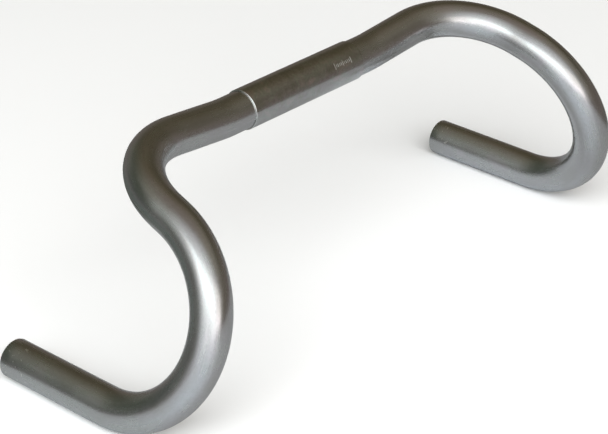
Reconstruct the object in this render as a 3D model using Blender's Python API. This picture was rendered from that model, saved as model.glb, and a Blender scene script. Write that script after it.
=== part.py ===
"""Drop handlebar of the randonneur kind: one bent aluminium tube with a clamp sleeve pressed on its middle.

Frame: metres, +Z up, +X to the rider's right, +Y forwards. The origin is the middle of the clamp sleeve,
on the tube's axis. The bar stands level on the straight stretches of its two drops.
"""

from math import acos, ceil, cos, pi, radians, sin

import bmesh
import bpy
from mathutils import Matrix, Vector

# Tube and sleeve sections.
TUBE_OD = 0.0238
TUBE_WALL = 0.0020
SLEEVE_OD = 0.0254
SLEEVE_LENGTH = 0.100
SLEEVE_GAP = 0.0002
SLEEVE_CHAMFER = 0.0005
END_CHAMFER = 0.0003

# The tube's centre line on the rider's right, from the middle outwards.
CENTRE_RUN = 0.062
RISE = radians(5.0)
RISE_RADIUS = 0.110
TOP_RUN = 0.037
CORNER_RADIUS = 0.055
RAMP_RUN = 0.006
RAMP_SLOPE = radians(17.0)
HOOK_RADIUS = 0.060
HOOK_FLARE = radians(18.5)
DROP_RUN = 0.076

# How finely round shapes are divided.
TUBE_SIDES = 24
SLEEVE_SIDES = 48
BEND_STEP = radians(7.5)
LONGEST_RUN_STEP = 0.040

# Headings of the centre line after each of its three bends.
TOP_HEADING = Vector((cos(RISE), 0, sin(RISE)))
HOOK_DOWN = Vector((sin(HOOK_FLARE), 0, -cos(HOOK_FLARE)))
FORWARDS = Vector((0, 1, 0))
RAMP_HEADING = FORWARDS * cos(RAMP_SLOPE) + HOOK_DOWN * sin(RAMP_SLOPE)
DROP_HEADING = -FORWARDS

MERGE_DISTANCE = 0.00001
SHARP_ANGLE = radians(30)


def clear_scene():
    for item in list(bpy.data.objects):
        bpy.data.objects.remove(item)


def material(name, colour, roughness):
    """Bare aluminium as a Principled BSDF."""
    made = bpy.data.materials.new(name)
    made.use_nodes = True
    shader = made.node_tree.nodes["Principled BSDF"]
    shader.inputs["Base Color"].default_value = (*colour, 1)
    shader.inputs["Metallic"].default_value = 1.0
    shader.inputs["Roughness"].default_value = roughness
    return made


def object_from(name, shape, finish, parent):
    """Closes the bmesh into a named, smooth-shaded object under the handlebar's empty."""
    bmesh.ops.recalc_face_normals(shape, faces=shape.faces)
    mesh = bpy.data.meshes.new(name)
    shape.to_mesh(mesh)
    shape.free()
    mesh.shade_smooth()
    mesh.set_sharp_from_angle(angle=SHARP_ANGLE)
    mesh.materials.append(finish)
    made = bpy.data.objects.new(name, mesh)
    bpy.context.scene.collection.objects.link(made)
    made.parent = parent
    return made


def circle_edges(shape, radius):
    """A circle around the X axis at the origin, with a corner straight up and one straight down."""
    facing_x = Matrix.Rotation(pi / 2, 4, "Y")
    made = bmesh.ops.create_circle(
        shape, cap_ends=False, segments=TUBE_SIDES, radius=radius, matrix=facing_x
    )
    return list({edge for vert in made["verts"] for edge in vert.link_edges})


class Bender:
    """Draws a tube's skin along its centre line, as straight runs and as bends of a stated radius."""

    def __init__(self, shape, section):
        self.shape = shape
        self.section = section
        self.place = Vector((0, 0, 0))
        self.heading = Vector((1, 0, 0))

    def run(self, length):
        steps = ceil(length / LONGEST_RUN_STEP)
        for _ in range(steps):
            made = bmesh.ops.extrude_edge_only(self.shape, edges=self.section)["geom"]
            ends = [item for item in made if isinstance(item, bmesh.types.BMVert)]
            bmesh.ops.translate(
                self.shape, verts=ends, vec=self.heading * (length / steps)
            )
            self.section = [
                item for item in made if isinstance(item, bmesh.types.BMEdge)
            ]
        self.place += self.heading * length

    def turn(self, heading, radius):
        axis = self.heading.cross(heading).normalized()
        angle = acos(self.heading.dot(heading))
        middle = self.place + axis.cross(self.heading) * radius
        made = bmesh.ops.spin(
            self.shape,
            geom=self.section,
            cent=middle,
            axis=axis,
            angle=angle,
            steps=ceil(angle / BEND_STEP),
            use_duplicate=False,
        )
        self.section = [
            item for item in made["geom_last"] if isinstance(item, bmesh.types.BMEdge)
        ]
        self.place = middle + Matrix.Rotation(angle, 3, axis) @ (self.place - middle)
        self.heading = heading.copy()


def bar_tube(finish, parent):
    """The bent tube. Its right half's skin is drawn, mirrored, and thickened inwards to the tube's wall."""
    shape = bmesh.new()
    bender = Bender(shape, circle_edges(shape, TUBE_OD / 2))
    bender.run(CENTRE_RUN)
    bender.turn(TOP_HEADING, RISE_RADIUS)
    bender.run(TOP_RUN)
    bender.turn(RAMP_HEADING, CORNER_RADIUS)
    bender.run(RAMP_RUN)
    bender.turn(DROP_HEADING, HOOK_RADIUS)
    bender.run(DROP_RUN)
    made = object_from("bar_tube", shape, finish, parent)
    mirror = made.modifiers.new("left half", "MIRROR")
    mirror.merge_threshold = MERGE_DISTANCE
    wall = made.modifiers.new("wall", "SOLIDIFY")
    wall.thickness = TUBE_WALL
    wall.offset = -1
    wall.use_even_offset = True
    chamfer = made.modifiers.new("cut ends", "BEVEL")
    chamfer.width = END_CHAMFER
    chamfer.limit_method = "ANGLE"
    chamfer.angle_limit = SHARP_ANGLE
    chamfer.harden_normals = True
    return made


def clamp_sleeve(finish, parent):
    """The sleeve that the stem clamps: a thin turned ring with a chamfer round each end."""
    half = SLEEVE_LENGTH / 2
    outer = SLEEVE_OD / 2
    inner = TUBE_OD / 2 + SLEEVE_GAP
    profile = [
        (-half, inner),
        (-half, outer - SLEEVE_CHAMFER),
        (-half + SLEEVE_CHAMFER, outer),
        (half - SLEEVE_CHAMFER, outer),
        (half, outer - SLEEVE_CHAMFER),
        (half, inner),
    ]
    shape = bmesh.new()
    corners = [shape.verts.new((x, 0, radius)) for x, radius in profile]
    section = [
        shape.edges.new((corner, corners[index - 1]))
        for index, corner in enumerate(corners)
    ]
    bmesh.ops.spin(
        shape,
        geom=corners + section,
        cent=(0, 0, 0),
        axis=(1, 0, 0),
        angle=2 * pi,
        steps=SLEEVE_SIDES,
        use_merge=True,
    )
    bmesh.ops.remove_doubles(shape, verts=shape.verts, dist=MERGE_DISTANCE)
    return object_from("clamp_sleeve", shape, finish, parent)


def main():
    clear_scene()
    handlebar = bpy.data.objects.new("handlebar", None)
    bpy.context.scene.collection.objects.link(handlebar)
    bar_tube(material("satin aluminium", (0.56, 0.55, 0.53), 0.34), handlebar)
    clamp_sleeve(material("turned aluminium", (0.54, 0.52, 0.50), 0.30), handlebar)


main()
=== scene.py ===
"""Looks of the drop handlebar: the fine tube and clamp sleeve, their aluminium, the studio and the camera."""

from math import acos, ceil, cos, pi, radians, sin

import bpy
import numpy as np
from mathutils import Matrix, Vector


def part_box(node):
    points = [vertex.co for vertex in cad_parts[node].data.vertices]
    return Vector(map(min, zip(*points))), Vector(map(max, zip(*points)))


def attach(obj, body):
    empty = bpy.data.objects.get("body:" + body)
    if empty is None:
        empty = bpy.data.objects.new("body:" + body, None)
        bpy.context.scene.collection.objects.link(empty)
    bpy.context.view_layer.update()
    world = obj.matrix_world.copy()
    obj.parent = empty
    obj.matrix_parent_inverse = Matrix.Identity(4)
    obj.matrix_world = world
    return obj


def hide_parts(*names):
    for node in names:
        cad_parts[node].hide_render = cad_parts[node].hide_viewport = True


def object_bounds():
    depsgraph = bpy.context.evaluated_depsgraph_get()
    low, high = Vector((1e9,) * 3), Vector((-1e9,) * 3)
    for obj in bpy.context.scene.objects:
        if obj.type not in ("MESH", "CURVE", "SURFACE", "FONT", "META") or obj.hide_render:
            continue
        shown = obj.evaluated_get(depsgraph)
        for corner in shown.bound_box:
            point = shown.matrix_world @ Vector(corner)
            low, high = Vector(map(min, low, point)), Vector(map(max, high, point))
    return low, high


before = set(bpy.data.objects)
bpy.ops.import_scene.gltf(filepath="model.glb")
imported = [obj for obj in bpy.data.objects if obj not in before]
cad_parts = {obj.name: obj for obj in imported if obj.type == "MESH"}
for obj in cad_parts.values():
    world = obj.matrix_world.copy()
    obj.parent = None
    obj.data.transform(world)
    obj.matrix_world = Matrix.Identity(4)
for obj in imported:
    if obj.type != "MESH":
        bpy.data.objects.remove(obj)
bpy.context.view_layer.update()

# The tube's section, and its centre line on the rider's right, as in the CAD model.
TUBE_RADIUS = 0.0119
BORE_RADIUS = 0.0099
CENTRE_RUN = 0.062
RISE = radians(5.0)
RISE_RADIUS = 0.110
TOP_RUN = 0.037
CORNER_RADIUS = 0.055
RAMP_RUN = 0.006
RAMP_SLOPE = radians(17.0)
HOOK_RADIUS = 0.060
HOOK_FLARE = radians(18.5)
DROP_RUN = 0.076

# The edge taken off the tube's cut ends, slightly more than in the CAD model, and where its bevel is rounded.
END_CHAMFER = 0.00035
END_ROUNDING = 0.3

FORWARDS = Vector((0, 1, 0))
TOP_HEADING = Vector((cos(RISE), 0, sin(RISE)))
HOOK_DOWN = Vector((sin(HOOK_FLARE), 0, -cos(HOOK_FLARE)))
RAMP_HEADING = FORWARDS * cos(RAMP_SLOPE) + HOOK_DOWN * sin(RAMP_SLOPE)
DROP_HEADING = -FORWARDS

# The clamp sleeve's rounded edge, how pale it is worn, and the sleeve's clearance on the tube.
SLEEVE_EDGE = 0.00042
EDGE_WEAR = 0.48
SLEEVE_GAP = 0.00004

# The stretches of the sleeve that are divided finely, for the graduation and for the scuffs, and the arc
# round it that is, in degrees from the top (forwards is negative). Then the steps of those divisions.
GRADUATED = (-0.0465, -0.0140)
SCUFFED = (0.0335, 0.0430)
STROKED_ARC = (-114.0, -10.0)
GRADUATED_STEP = 0.00016
SCUFFED_STEP = 0.00020
ARC_STEP = 0.8
STROKE_END_FADE_MM = 0.35

# How finely the round surfaces are divided.
TUBE_SIDES = 96
BEND_STEP = radians(2.5)
LONGEST_RUN_STEP = 0.008
SHARP_ANGLE = radians(35)

# The camera looks at the object from the front right and from above. Its angles are in degrees.
CAMERA_AZIMUTH = 49.78
CAMERA_ELEVATION = 27.94
CAMERA_ROLL = 1.22
CAMERA_DISTANCE = 1.309
CAMERA_AIM = Vector((0.0247, 0.0292, -0.0712))
CAMERA_LENS_MM = 127.2
CAMERA_SENSOR_MM = 36.0

# Corners of the table top that the metal reflects, whose rear edge runs askew, and of the whole floor.
TABLE = [(-0.40, -0.30), (1.20, 0.27), (1.20, 1.20), (-0.40, 1.20)]
FLOOR = [(-9.0, -9.0), (9.0, -9.0), (9.0, 9.0), (-9.0, 9.0)]
FLOOR_DROP = 0.0003

# The table top's colour, and the soft patches by the left and the right drop, painted pools of light that
# make it paler there. Each patch has how much paler it is, its middle, and its half sizes along X and Y.
TABLE_COLOUR = (0.368, 0.376, 0.390)
TABLE_PAINTED_LIGHT_POOLS = [
    ((0.170, 0.186, 0.205), (-0.198, -0.040), (0.080, 0.165)),
    ((0.045, 0.058, 0.055), (0.222, -0.010), (0.055, 0.110)),
]

# The two pieces' bare aluminium. First the metal's colour over the blotches' noise, then how often the
# blotches and streaks repeat per metre along and across, how rough the metal is over the streaks, and
# how far the pits darken and lighten it.
TUBE_FINISH = {
    "metal": [
        (0.32, (0.515, 0.510, 0.495)),
        (0.45, (0.540, 0.530, 0.530)),
        (0.55, (0.540, 0.545, 0.530)),
        (0.68, (0.570, 0.550, 0.555)),
    ],
    "blotches": (45, 70, 70),
    "streaks": (30, 600, 600),
    "roughness": (0.25, 0.275),
    "pits": (0.95, 1.045),
}
SLEEVE_FINISH = {
    "metal": [
        (0.32, (0.480, 0.490, 0.450)),
        (0.45, (0.540, 0.520, 0.520)),
        (0.55, (0.530, 0.555, 0.525)),
        (0.68, (0.625, 0.575, 0.575)),
    ],
    "blotches": (100, 130, 130),
    "streaks": (900, 90, 90),
    "roughness": (0.21, 0.24),
    "pits": (0.90, 1.08),
}

# The colour of the pale marks, and how much rougher than the metal they are.
PALE_MARK = (0.86, 0.84, 0.80)
MARK_ROUGHNESS = 0.30

# The room's walls and ceiling, by the sine of the elevation. These values, and most strengths and colours of
# the patches and soft boxes below, began as a least-squares fit to the photo, and were scaled and in part
# changed.
ROOM_BY_HEIGHT = [
    (-0.30, (0.160, 0.166, 0.150)),
    (-0.10, (0.215, 0.178, 0.162)),
    (0.00, (0.155, 0.137, 0.123)),
    (0.12, (0.190, 0.163, 0.136)),
    (0.28, (0.155, 0.137, 0.108)),
    (0.45, (0.088, 0.074, 0.046)),
    (0.62, (0.100, 0.086, 0.053)),
    (0.80, (0.122, 0.098, 0.056)),
    (1.00, (0.086, 0.055, 0.035)),
]

# Soft round patches added to the room: the window's glow and its haze, a veil on the right, and a shade
# that takes light away there. Each has its azimuth, elevation, inner and outer angle in degrees, how much
# less high than wide it is, and its colour.
ROOM_PATCHES = [
    (55, 21, 20, 70, 1.0, (0.65, 0.72, 0.80)),
    (46, 24, 45, 70, 2.2, (0.168, 0.163, 0.152)),
    (150, 15, 10, 70, 1.0, (0.0, 0.025, 0.029)),
    (150, 6, 10, 36, 1.8, (-0.075, -0.065, -0.062)),
]
BACKDROP = (0.84, 0.84, 0.84)

# The soft boxes that the metal reflects, and the one that only lights the floor. Each has its name, azimuth
# and elevation, distance in metres, half width, half height and tilt in degrees, radiance and colour.
SOFT_BOXES = [
    ("window", 60, 28, 1.8, 28, 12, 9, 0.90, (0.62, 0.92, 1.0)),
    ("window_surround", 48, 27.5, 1.8, 47, 16.5, 9, 0.74, (1.0, 0.90, 0.83)),
    ("window_foot_left", 24, 5, 1.8, 20, 5, 0, 0.95, (1.05, 0.96, 1.02)),
    ("window_foot_right", 60, 5, 1.8, 13, 5, 0, 0.50, (1.05, 0.96, 1.02)),
]
FLOOR_LIGHT = ("floor_light", 46, 40, 4.0, 30, 20, 0, 6.3, (1.0, 1.0, 1.0))


# ---------------------------------------------------------------------------------------------------------
# Shapes


class CentreLine:
    """Stations along the right half of the tube: distance from the middle, place, and the section's axes."""

    def __init__(self):
        self.place = Vector((0, 0, 0))
        self.heading = Vector((1, 0, 0))
        self.upright = Vector((0, 0, 1))
        self.distance = 0.0
        self.stations = []
        self.mark()

    def mark(self):
        sideways = self.heading.cross(self.upright)
        self.stations.append((self.distance, self.place.copy(), self.upright.copy(), sideways))

    def run(self, length):
        steps = ceil(length / LONGEST_RUN_STEP)
        for _ in range(steps):
            self.place = self.place + self.heading * (length / steps)
            self.distance += length / steps
            self.mark()

    def turn(self, heading, radius):
        axis = self.heading.cross(heading).normalized()
        angle = acos(self.heading.dot(heading))
        steps = ceil(angle / BEND_STEP)
        middle = self.place + axis.cross(self.heading) * radius
        turned = Matrix.Rotation(angle / steps, 3, axis)
        for _ in range(steps):
            self.place = middle + turned @ (self.place - middle)
            self.heading = (turned @ self.heading).normalized()
            self.upright = (turned @ self.upright).normalized()
            self.distance += radius * angle / steps
            self.mark()
        self.heading = heading.copy()


def tube_stations():
    """Stations from the left end to the right end, the left half being the right half's mirror image."""
    line = CentreLine()
    line.run(CENTRE_RUN)
    line.turn(TOP_HEADING, RISE_RADIUS)
    line.run(TOP_RUN)
    line.turn(RAMP_HEADING, CORNER_RADIUS)
    line.run(RAMP_RUN)
    line.turn(DROP_HEADING, HOOK_RADIUS)
    line.run(DROP_RUN)
    right = [(s, np.array(p), np.array(u), np.array(v)) for s, p, u, v in line.stations]
    across = np.array((-1.0, 1.0, 1.0))
    left = [(-s, p * across, u * across, v * across) for s, p, u, v in reversed(right[1:])]
    return left + right


def ring_mesh(name, rings, straightened, marked=None):
    """A closed surface through rings of the same number of points, the last ring joined to the first.

    The straightened places, where each point would lie if the tube were straight, are kept as the
    attribute "grain", which the materials use for brushing that follows the bends. How much of each
    point is marked or scuffed is kept as the attribute "mark"."""
    rows, sides = rings.shape[:2]
    index = np.arange(rows * sides).reshape(rows, sides)
    after = np.roll(index, -1, axis=0)
    faces = np.stack(
        [index, np.roll(index, -1, axis=1), np.roll(after, -1, axis=1), after], axis=-1
    ).reshape(-1, 4)
    mesh = bpy.data.meshes.new(name)
    mesh.from_pydata(rings.reshape(-1, 3).tolist(), [], faces.tolist())
    grain = mesh.attributes.new("grain", "FLOAT_VECTOR", "POINT")
    grain.data.foreach_set("vector", straightened.reshape(-1).astype(np.float32))
    if marked is not None:
        mark = mesh.attributes.new("mark", "FLOAT", "POINT")
        mark.data.foreach_set("value", marked.reshape(-1).astype(np.float32))
    mesh.validate()
    mesh.shade_smooth()
    mesh.set_sharp_from_angle(angle=SHARP_ANGLE)
    made = bpy.data.objects.new(name, mesh)
    bpy.context.scene.collection.objects.link(made)
    return made


def section_ring(station, radius, shift, angles):
    """One ring round the tube, moved along the tube by a shift, and the same ring straightened."""
    distance, place, upright, sideways = station
    heading = np.cross(upright, sideways)
    ring = (
        place
        + heading * shift
        + radius * (np.outer(np.cos(angles), upright) + np.outer(np.sin(angles), sideways))
    )
    straight = np.column_stack(
        [np.full(len(angles), distance + shift), radius * np.cos(angles), radius * np.sin(angles)]
    )
    return ring, straight


def bar_tube():
    """The bent tube with its bore, and its square-cut ends with the saw's edge taken off."""
    stations = tube_stations()
    angles = np.arange(TUBE_SIDES) * (2 * pi / TUBE_SIDES)
    first, last = stations[0], stations[-1]
    cut_end = [
        (TUBE_RADIUS, END_CHAMFER),
        (TUBE_RADIUS - END_CHAMFER * END_ROUNDING, END_CHAMFER * END_ROUNDING),
        (TUBE_RADIUS - END_CHAMFER, 0.0),
        (BORE_RADIUS + END_CHAMFER, 0.0),
        (BORE_RADIUS, END_CHAMFER),
    ]
    layout = [(station, TUBE_RADIUS, 0.0) for station in stations[1:-1]]
    layout += [(last, radius, -inset) for radius, inset in cut_end]
    layout += [(station, BORE_RADIUS, 0.0) for station in reversed(stations[1:-1])]
    layout += [(first, radius, inset) for radius, inset in reversed(cut_end)]
    made = [section_ring(station, radius, shift, angles) for station, radius, shift in layout]
    rings = np.array([ring for ring, _ in made])
    straightened = np.array([straight for _, straight in made])
    return ring_mesh("fine_bar_tube", rings, straightened)


def row(first, pitch, count, angle, length, width, depth, strength):
    """Equally spaced and unequally worn strokes, in the form that STROKES holds."""
    return [
        (first + pitch * i, angle, length, width, depth, strength * (0.8 + 0.2 * cos(2.4 * i)))
        for i in range(count)
    ]


# Pale strokes across the sleeve: an even graduation toward the left end, longer at every fifth stroke, and
# four plain scuffs. Each has its place along X in mm, its middle's angle from the top in degrees (forwards
# is negative), its length, width and depth in mm, and how pale it is.
STROKES = (
    row(-24.0, -1.5, 11, -55.0, 2.2, 0.70, 0.15, 0.80)
    + row(-24.0, -7.5, 3, -55.0, 4.2, 0.70, 0.15, 0.80)
    + [
        (-44.0, -24.0, 3.2, 0.60, 0.04, 0.35),
        (-19.5, -80.0, 2.6, 0.60, 0.04, 0.35),
        (40.5, -30.0, 3.4, 0.60, 0.04, 0.35),
        (35.5, -78.0, 2.8, 0.60, 0.04, 0.35),
    ]
)


def stroke_pattern(x, angles, radius):
    """The strokes' depth in metres and paleness, over a grid of places along X and angles round it."""
    along, around = np.meshgrid(x * 1000, angles * radius * 1000, indexing="ij")
    depth = np.zeros(along.shape)
    pale = np.zeros(along.shape)
    for place, angle, length, width, deep, strength in STROKES:
        up = around - radians(angle) * radius * 1000
        across = np.abs(along - place) / (width / 2)
        ends = np.clip((length / 2 - np.abs(up)) / STROKE_END_FADE_MM + 0.5, 0, 1)
        depth = np.maximum(depth, deep / 1000 * np.clip(1 - across, 0, 1) * ends)
        pale = np.maximum(pale, strength * np.clip(1.6 - 1.6 * across, 0, 1) * ends)
    return depth, pale


def clamp_sleeve():
    """The sleeve, with a rounded edge at each end and the strokes cut in its front upper side."""
    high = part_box("clamp_sleeve")[1]
    half = high.x
    outer = high.z
    inner = TUBE_RADIUS + SLEEVE_GAP
    edge = SLEEVE_EDGE
    x = np.concatenate(
        [
            np.linspace(-half + edge, GRADUATED[0], 5)[:-1],
            np.arange(*GRADUATED, GRADUATED_STEP),
            np.linspace(GRADUATED[1], SCUFFED[0], 24)[:-1],
            np.arange(*SCUFFED, SCUFFED_STEP),
            np.linspace(SCUFFED[1], half - edge, 8),
        ]
    )
    start, end = STROKED_ARC
    plain_arc = np.linspace(end, start + 360, 87)[:-1]
    angles = np.radians(np.concatenate([np.arange(start, end, ARC_STEP), plain_arc]))
    depth, pale = stroke_pattern(x, angles, outer)
    rounding = [
        (half - edge + edge * sin(a), outer - edge + edge * cos(a)) for a in np.linspace(0, pi / 2, 9)
    ][1:]
    profile = rounding + [(half, inner), (-half, inner)] + [(-a, r) for a, r in reversed(rounding)]
    worn = np.full((len(profile), len(angles)), EDGE_WEAR)
    stations = np.concatenate([x, [place for place, _ in profile]])
    radii = np.concatenate([outer - depth, [np.full(len(angles), r) for _, r in profile]])
    rings = np.stack(
        [
            np.broadcast_to(stations[:, None], radii.shape),
            -radii * np.sin(angles),
            radii * np.cos(angles),
        ],
        axis=-1,
    )
    return ring_mesh("fine_clamp_sleeve", rings, rings, np.concatenate([pale, worn]))


# ---------------------------------------------------------------------------------------------------------
# Materials


def vector_math(tree, operation, first, second):
    """A vector maths node. The second value is a socket, or three numbers."""
    made = tree.nodes.new("ShaderNodeVectorMath")
    made.operation = operation
    tree.links.new(first, made.inputs[0])
    if isinstance(second, bpy.types.NodeSocket):
        tree.links.new(second, made.inputs[1])
    else:
        made.inputs[1].default_value = second
    return made.outputs["Value" if operation == "DOT_PRODUCT" else "Vector"]


def part_of(tree, vector, axis):
    made = tree.nodes.new("ShaderNodeSeparateXYZ")
    tree.links.new(vector, made.inputs[0])
    return made.outputs[axis]


def map_range(tree, value, low, high, to_low, to_high, smooth=False):
    made = tree.nodes.new("ShaderNodeMapRange")
    made.interpolation_type = "SMOOTHSTEP" if smooth else "LINEAR"
    tree.links.new(value, made.inputs["Value"])
    made.inputs["From Min"].default_value = low
    made.inputs["From Max"].default_value = high
    made.inputs["To Min"].default_value = to_low
    made.inputs["To Max"].default_value = to_high
    return made.outputs["Result"]


def ramp(tree, value, stops, low=0.0, high=1.0):
    """A colour ramp. The stops are pairs of a value, between low and high, and a colour or a grey."""
    made = tree.nodes.new("ShaderNodeValToRGB")
    tree.links.new(map_range(tree, value, low, high, 0, 1), made.inputs["Fac"])
    elements = made.color_ramp.elements
    while len(elements) < len(stops):
        elements.new(0.5)
    for element, (where, colour) in zip(elements, stops):
        element.position = (where - low) / (high - low)
        element.color = (*colour, 1) if isinstance(colour, tuple) else (colour, colour, colour, 1)
    return made.outputs["Color"]


def principled(name):
    made = bpy.data.materials.new(name)
    made.use_nodes = True
    return made, made.node_tree, made.node_tree.nodes["Principled BSDF"]


def noise(tree, place, scale, detail):
    """Noise over a place scaled by three numbers per metre."""
    made = tree.nodes.new("ShaderNodeTexNoise")
    tree.links.new(vector_math(tree, "MULTIPLY", place, scale), made.inputs["Vector"])
    made.inputs["Scale"].default_value = 1.0
    made.inputs["Detail"].default_value = detail
    return made.outputs["Fac"]


def maths(tree, operation, first, second):
    made = tree.nodes.new("ShaderNodeMath")
    made.operation = operation
    for socket, value in zip(made.inputs, (first, second)):
        if isinstance(value, bpy.types.NodeSocket):
            tree.links.new(value, socket)
        else:
            socket.default_value = value
    return made.outputs["Value"]


def blend(tree, amount, first, second):
    """Mixes two colours, each a socket or three numbers."""
    made = tree.nodes.new("ShaderNodeMix")
    made.data_type = "RGBA"
    tree.links.new(amount, made.inputs["Factor"])
    for name, value in (("A", first), ("B", second)):
        if isinstance(value, bpy.types.NodeSocket):
            tree.links.new(value, made.inputs[name])
        else:
            made.inputs[name].default_value = (*value, 1)
    return made.outputs["Result"]


def attribute(tree, name, output):
    made = tree.nodes.new("ShaderNodeAttribute")
    made.attribute_name = name
    return made.outputs[output]


def aluminium(name, finish, marks):
    """Worn satin aluminium: blotches, streaks that follow the grain, fine pitting, and marks.

    The last argument gives how pale the marks are, for a tree and its grain coordinates."""
    made, tree, shader = principled(name)
    grain = attribute(tree, "grain", "Vector")
    streaks = noise(tree, grain, finish["streaks"], 3)
    blotches = noise(tree, grain, finish["blotches"], 4)
    pits = noise(tree, grain, (900, 900, 900), 2)
    marked = marks(tree, grain)
    darkest, palest = finish["pits"]
    metal = ramp(tree, blotches, finish["metal"], 0.30, 0.70)
    streaked = ramp(tree, streaks, [(0.30, 0.965), (0.50, 1.0), (0.72, 1.03)], 0.2, 0.8)
    pitted = ramp(tree, pits, [(0.30, darkest), (0.50, 1.0), (0.70, palest)], 0.2, 0.8)
    metal = vector_math(tree, "MULTIPLY", vector_math(tree, "MULTIPLY", metal, streaked), pitted)
    metal = blend(tree, marked, metal, PALE_MARK)
    tree.links.new(metal, shader.inputs["Base Color"])
    shader.inputs["Metallic"].default_value = 1.0
    shader.inputs["Specular Tint"].default_value = (0.93, 0.93, 0.93, 1)
    dull = map_range(tree, streaks, 0.3, 0.7, *finish["roughness"])
    dull = maths(tree, "ADD", dull, map_range(tree, blotches, 0.3, 0.7, -0.02, 0.03))
    dull = maths(tree, "ADD", dull, map_range(tree, marked, EDGE_WEAR, 1, 0, MARK_ROUGHNESS))
    tree.links.new(dull, shader.inputs["Roughness"])
    bump = tree.nodes.new("ShaderNodeBump")
    bump.inputs["Strength"].default_value = 0.08
    bump.inputs["Distance"].default_value = 0.00004
    relief = maths(tree, "ADD", maths(tree, "MULTIPLY", streaks, 0.6), maths(tree, "MULTIPLY", pits, 0.4))
    tree.links.new(relief, bump.inputs["Height"])
    tree.links.new(bump.outputs["Normal"], shader.inputs["Normal"])
    return made


def sleeve_marks(tree, grain):
    return attribute(tree, "mark", "Fac")


def tube_marks(tree, grain):
    """Small nicks, only near the two cut ends of the tube."""
    half_length = tube_stations()[-1][0]
    away = maths(tree, "ABSOLUTE", part_of(tree, grain, "X"), 0.0)
    near_end = map_range(tree, away, half_length - 0.030, half_length - 0.012, 0, 1)
    nicks = map_range(tree, noise(tree, grain, (320, 420, 420), 2), 0.64, 0.70, 0, 0.8)
    return maths(tree, "MULTIPLY", near_end, nicks)


# ---------------------------------------------------------------------------------------------------------
# Studio


def direction(azimuth, elevation):
    """A unit vector: azimuth 0 points along +Y and 90 along +X."""
    a, e = radians(azimuth), radians(elevation)
    return Vector((sin(a) * cos(e), cos(a) * cos(e), sin(e)))


def area_light(name, azimuth, elevation, distance, half_width, half_height, tilt, radiance, colour):
    """A soft box seen from the object at a direction, with half sizes in degrees and a given brightness.

    The tilt raises the side with the higher azimuth, in degrees."""
    light = bpy.data.lights.new(name, "AREA")
    light.shape = "RECTANGLE"
    light.size = 2 * distance * np.tan(radians(half_width))
    light.size_y = 2 * distance * np.tan(radians(half_height))
    light.energy = radiance * pi * light.size * light.size_y
    light.color = colour
    made = bpy.data.objects.new(name, light)
    toward = direction(azimuth, elevation)
    made.location = toward * distance
    made.rotation_mode = "QUATERNION"
    level = toward.to_track_quat("Z", "Y")
    made.rotation_quaternion = level @ Matrix.Rotation(radians(-tilt), 4, "Z").to_quaternion()
    bpy.context.scene.collection.objects.link(made)
    return made


def scaled(tree, value, colour):
    """A grey value times a colour."""
    return vector_math(tree, "MULTIPLY", value, colour)


def glow_round(tree, place, azimuth, elevation, inner, outer, flatness):
    """1 inside the inner angle from a direction, 0 outside the outer one, less high than wide."""
    toward = direction(azimuth, elevation) * Vector((1, 1, flatness))
    stretched = vector_math(tree, "MULTIPLY", place, (1, 1, flatness))
    unit = tree.nodes.new("ShaderNodeVectorMath")
    unit.operation = "NORMALIZE"
    tree.links.new(stretched, unit.inputs[0])
    nearness = vector_math(tree, "DOT_PRODUCT", unit.outputs["Vector"], toward.normalized())
    return map_range(tree, nearness, cos(radians(outer)), cos(radians(inner)), 0, 1, smooth=True)


def room():
    """A dim warm room with a wide glow round the window. The camera itself sees a pale backdrop."""
    world = bpy.data.worlds.new("room")
    bpy.context.scene.world = world
    world.use_nodes = True
    tree = world.node_tree
    background = tree.nodes["Background"]
    place = tree.nodes.new("ShaderNodeTexCoord").outputs["Generated"]
    light = ramp(tree, part_of(tree, place, "Z"), ROOM_BY_HEIGHT, -1.0, 1.0)
    for *shape, colour in ROOM_PATCHES:
        light = vector_math(tree, "ADD", light, scaled(tree, glow_round(tree, place, *shape), colour))
    seen = tree.nodes.new("ShaderNodeMix")
    seen.data_type = "RGBA"
    rays = tree.nodes.new("ShaderNodeLightPath")
    tree.links.new(rays.outputs["Is Camera Ray"], seen.inputs["Factor"])
    tree.links.new(light, seen.inputs["A"])
    seen.inputs["B"].default_value = (*BACKDROP, 1)
    tree.links.new(seen.outputs["Result"], background.inputs["Color"])


def level_sheet(name, outline, height, material):
    """A level four-cornered sheet."""
    mesh = bpy.data.meshes.new(name)
    mesh.from_pydata([(x, y, 0) for x, y in outline], [], [(0, 1, 2, 3)])
    mesh.materials.append(material)
    made = bpy.data.objects.new(name, mesh)
    made.location.z = height
    bpy.context.scene.collection.objects.link(made)
    return made


def floor_material():
    made, _, shader = principled("pale floor")
    shader.inputs["Base Color"].default_value = (0.82, 0.82, 0.82, 1)
    shader.inputs["Roughness"].default_value = 0.60
    shader.inputs["Specular IOR Level"].default_value = 0.2
    return made


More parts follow.
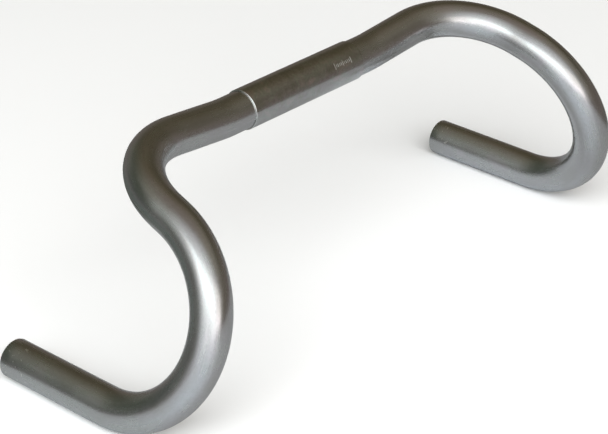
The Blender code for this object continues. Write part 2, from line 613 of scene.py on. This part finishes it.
def table_material():
    """A glossy pale sheet, paler still in its soft patches of painted light."""
    made, tree, shader = principled("pale table")
    place = tree.nodes.new("ShaderNodeTexCoord").outputs["Object"]
    colour = TABLE_COLOUR
    # Painted light: each soft patch adds a pool of light painted into the table's colour.
    for painted_light, (x, y), (half_x, half_y) in TABLE_PAINTED_LIGHT_POOLS:
        off = vector_math(tree, "SUBTRACT", place, (x, y, 0))
        off = vector_math(tree, "MULTIPLY", off, (1 / half_x, 1 / half_y, 0))
        inside = map_range(tree, vector_math(tree, "DOT_PRODUCT", off, off), 1.0, 0.2, 0, 1, smooth=True)
        colour = vector_math(tree, "ADD", scaled(tree, inside, painted_light), colour)
    tree.links.new(colour, shader.inputs["Base Color"])
    shader.inputs["Roughness"].default_value = 0.42
    shader.inputs["Specular IOR Level"].default_value = 1.0
    shader.inputs["IOR"].default_value = 2.0
    shader.inputs["Specular Tint"].default_value = (0.80, 0.90, 1.0, 1)
    return made


def camera():
    back = direction(CAMERA_AZIMUTH, CAMERA_ELEVATION)
    data = bpy.data.cameras.new("camera")
    data.lens = CAMERA_LENS_MM
    data.sensor_width = CAMERA_SENSOR_MM
    made = bpy.data.objects.new("camera", data)
    made.location = CAMERA_AIM + back * CAMERA_DISTANCE
    made.rotation_mode = "QUATERNION"
    level = back.to_track_quat("Z", "Y")
    made.rotation_quaternion = level @ Matrix.Rotation(radians(CAMERA_ROLL), 4, "Z").to_quaternion()
    bpy.context.scene.collection.objects.link(made)
    bpy.context.scene.camera = made


# ---------------------------------------------------------------------------------------------------------
# Assembly

tube = bar_tube()
tube.data.materials.append(aluminium("satin aluminium", TUBE_FINISH, tube_marks))
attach(tube, "root")
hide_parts("bar_tube")

sleeve = clamp_sleeve()
sleeve.data.materials.append(aluminium("turned aluminium", SLEEVE_FINISH, sleeve_marks))
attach(sleeve, "root")
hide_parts("clamp_sleeve")

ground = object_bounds()[0].z
level_sheet("floor", FLOOR, ground - FLOOR_DROP, floor_material()).visible_glossy = False
table = level_sheet("table_top", TABLE, ground, table_material())
for ray in ("camera", "diffuse", "transmission", "shadow", "volume_scatter"):
    setattr(table, "visible_" + ray, False)

room()
for soft_box in SOFT_BOXES:
    area_light(*soft_box)
area_light(*FLOOR_LIGHT).visible_glossy = False
camera()
bpy.context.scene.view_settings.view_transform = "Standard"
